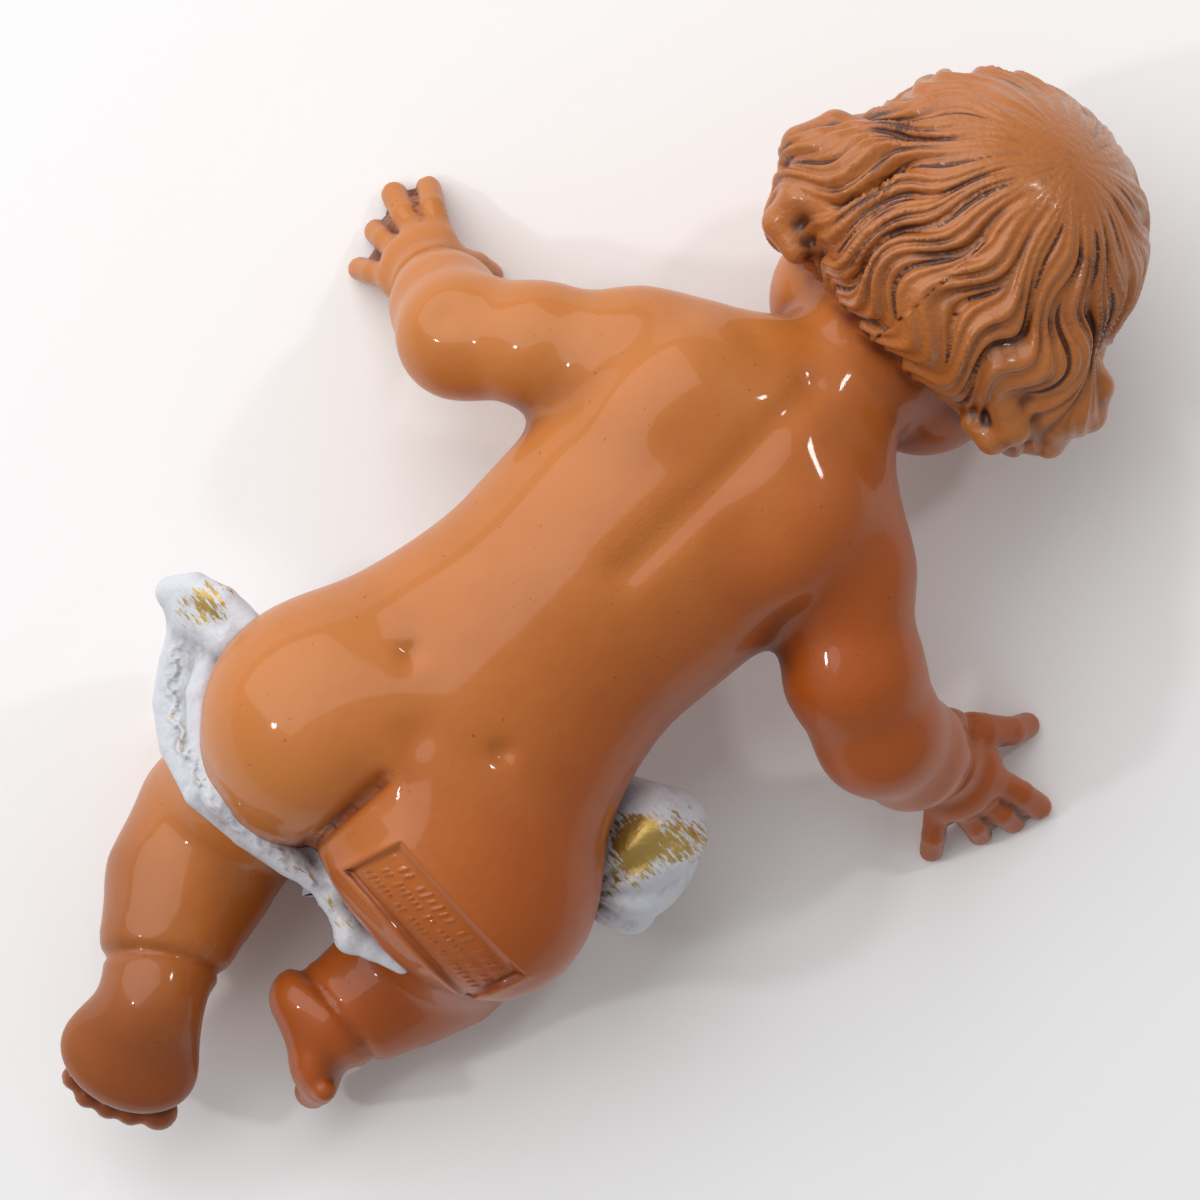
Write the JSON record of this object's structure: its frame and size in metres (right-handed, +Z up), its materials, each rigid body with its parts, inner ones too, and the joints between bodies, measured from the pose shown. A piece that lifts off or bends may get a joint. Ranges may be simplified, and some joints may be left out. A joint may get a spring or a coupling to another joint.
{
  "type": "infant figurine",
  "caption": "Infant figure moulded in one piece with curled hair and a draped loincloth, lying face down on its knees and hands.",
  "frame": {"origin": "centre of the figure's bounding box, at the height of the flats it rests on", "axes": "+Y from the feet to the crown of the head, +Z up out of the figure's back, +X towards the figure's right hand"},
  "size_m": [0.1914, 0.2862, 0.0819],
  "materials": {
    "painted_moulding": "hand-painted skin, hair and gilded cloth under a gloss varnish"
  },
  "bodies": {
    "root": {"infant_figure": "painted_moulding"}
  },
  "joints": []
}
